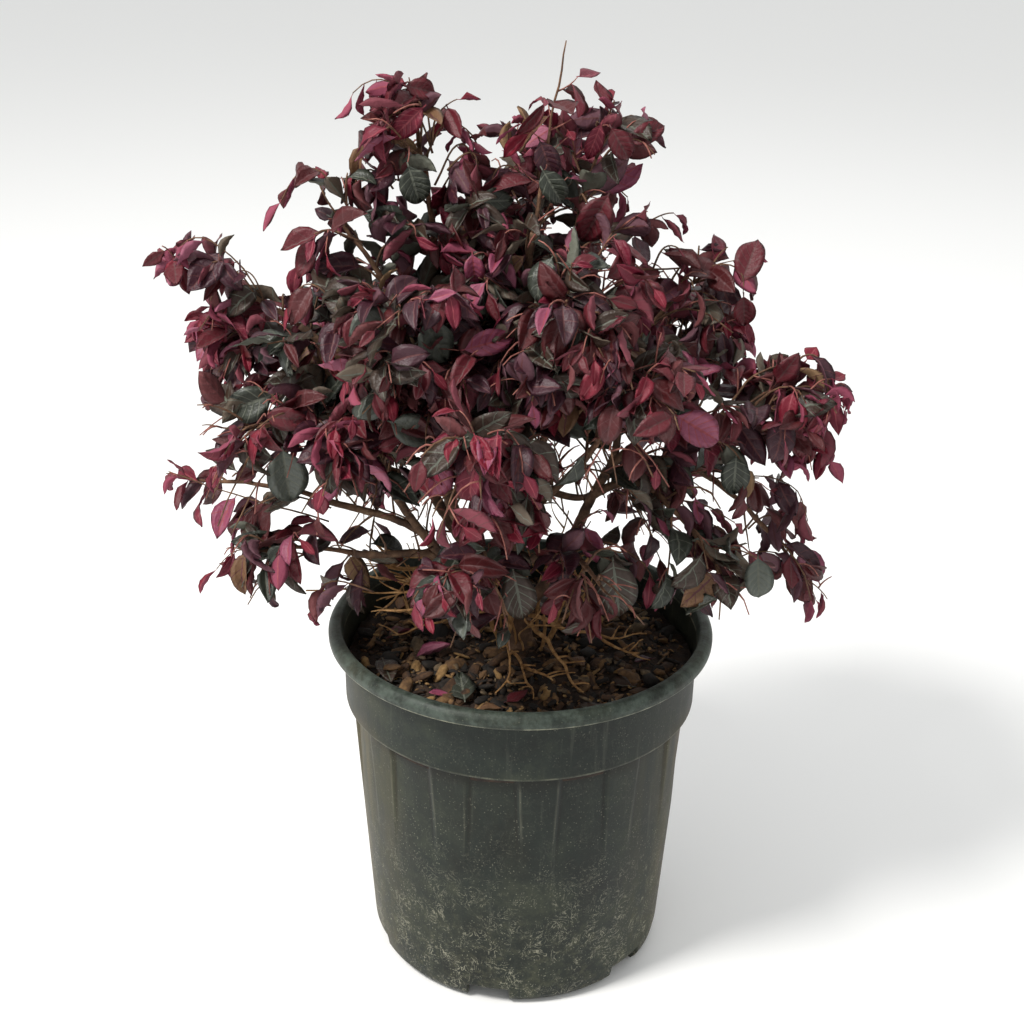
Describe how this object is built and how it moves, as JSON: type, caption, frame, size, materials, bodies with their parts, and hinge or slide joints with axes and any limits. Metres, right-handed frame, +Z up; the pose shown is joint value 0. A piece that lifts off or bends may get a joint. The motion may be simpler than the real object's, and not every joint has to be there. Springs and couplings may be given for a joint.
{
  "type": "potted fringe flower shrub",
  "caption": "Purple-leaved fringe flower shrub: arching leafy shoots on a short forked trunk, rooted in compost in a dark, lightly fluted plastic nursery pot with a wide lip.",
  "frame": {"origin": "middle of the pot's flat underside", "axes": "+Z up along the plant, -Y towards the viewer of the picture, +X to the viewer's right"},
  "size_m": [0.478, 0.3735, 0.6713],
  "materials": {
    "pot_plastic": "dull dark green-grey, scuffed",
    "compost": "moist, coarse bark compost",
    "bark": "rough brown bark",
    "foliage": "matte maroon leaves with a slight sheen"
  },
  "bodies": {
    "root": {"pot": "pot_plastic", "soil": "compost", "trunk": "bark", "bough_back": "bark", "bough_back_left": "bark", "bough_back_low": "bark", "bough_back_low_left": "bark", "bough_back_low_right": "bark", "bough_back_right": "bark", "bough_back_top": "bark", "bough_centre": "bark", "bough_centre_left": "bark", "bough_front": "bark", "bough_front_right": "bark", "bough_left": "bark", "bough_left_arch": "bark", "bough_left_low": "bark", "bough_left_spray": "bark", "bough_left_upper": "bark", "bough_low_front_left": "bark", "bough_low_front_right": "bark", "bough_low_left": "bark", "bough_mid_left": "bark", "bough_mid_right": "bark", "bough_right": "bark", "bough_right_high": "bark", "bough_right_low": "bark", "bough_right_spray": "bark", "bough_spire": "bark", "bough_top_right": "bark", "bough_upper_left": "bark", "foliage_back_centre": "foliage", "foliage_back_left": "foliage", "foliage_back_low": "foliage", "foliage_back_low_left": "foliage", "foliage_back_low_right": "foliage", "foliage_back_right": "foliage", "foliage_back_top": "foliage", "foliage_front_centre": "foliage", "foliage_front_right": "foliage", "foliage_left_arch": "foliage", "foliage_left_centre": "foliage", "foliage_left_high": "foliage", "foliage_left_low": "foliage", "foliage_left_spray": "foliage", "foliage_low_front_left": "foliage", "foliage_low_front_right": "foliage", "foliage_low_left": "foliage", "foliage_mid_left": "foliage", "foliage_mid_right": "foliage", "foliage_right": "foliage", "foliage_right_high": "foliage", "foliage_right_low": "foliage", "foliage_right_spray": "foliage", "foliage_spire": "foliage", "foliage_top_centre": "foliage", "foliage_top_left": "foliage", "foliage_top_right": "foliage", "foliage_upper_left": "foliage"}
  },
  "joints": []
}
